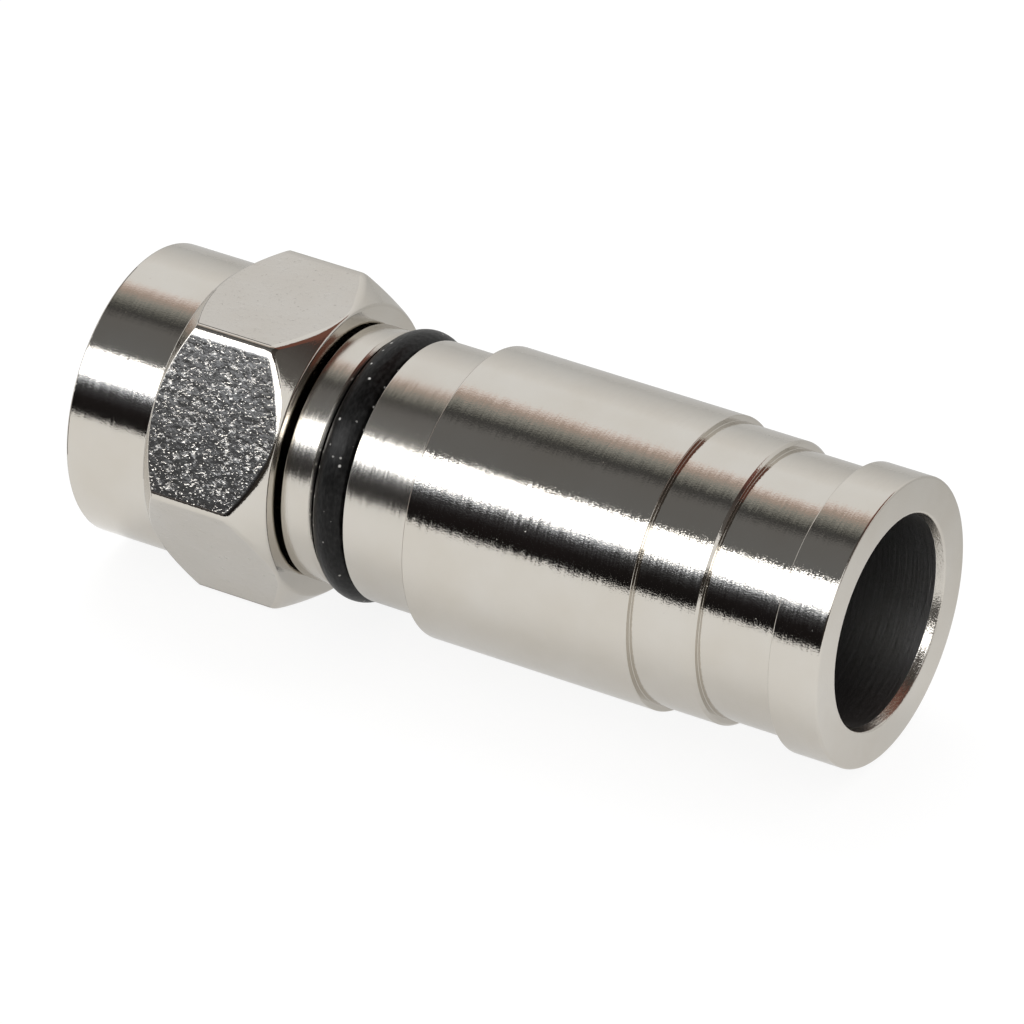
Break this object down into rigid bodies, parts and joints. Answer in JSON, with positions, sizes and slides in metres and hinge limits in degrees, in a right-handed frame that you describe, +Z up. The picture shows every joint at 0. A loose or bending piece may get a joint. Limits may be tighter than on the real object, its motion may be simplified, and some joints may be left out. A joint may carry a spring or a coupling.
{
  "type": "coaxial compression connector",
  "caption": "Male coaxial compression connector: a free coupling nut screws on a threaded port, a sliding sleeve grips the cable end.",
  "frame": {"origin": "on the connector's axis, in the plane of the post flange's front face, where the port's end seats", "axes": "+X along the axis towards the cable end, +Z up with the nut's hexagon lying on a flat"},
  "size_m": [0.0311, 0.0126, 0.0112],
  "materials": {
    "nut_plating": "nickel plating, bright on the collar, pitted on the flats",
    "post_plating": "nickel plating, turned",
    "body_plating": "nickel plating over fine turning marks",
    "sleeve_plating": "bright nickel plating, matt on the end face",
    "seal_rubber": "matt black rubber",
    "ring_plastic": "black acetal"
  },
  "bodies": {
    "body": {"connector_body": "body_plating", "inner_post": "post_plating", "body_seal": "seal_rubber", "nut_seal": "seal_rubber"},
    "nut": {"coupling_nut": "nut_plating"},
    "sleeve": {"compression_sleeve": "sleeve_plating", "gripping_ring": "ring_plastic"}
  },
  "joints": [
    {"name": "nut_spin", "type": "hinge", "parent": "body", "child": "nut", "pos_m": [0, 0, 0], "axis": [-1, 0, 0], "continuous": true},
    {"name": "sleeve_slide", "type": "slide", "parent": "body", "child": "sleeve", "axis": [-1, 0, 0], "range_m": [0, 0.0053]}
  ]
}
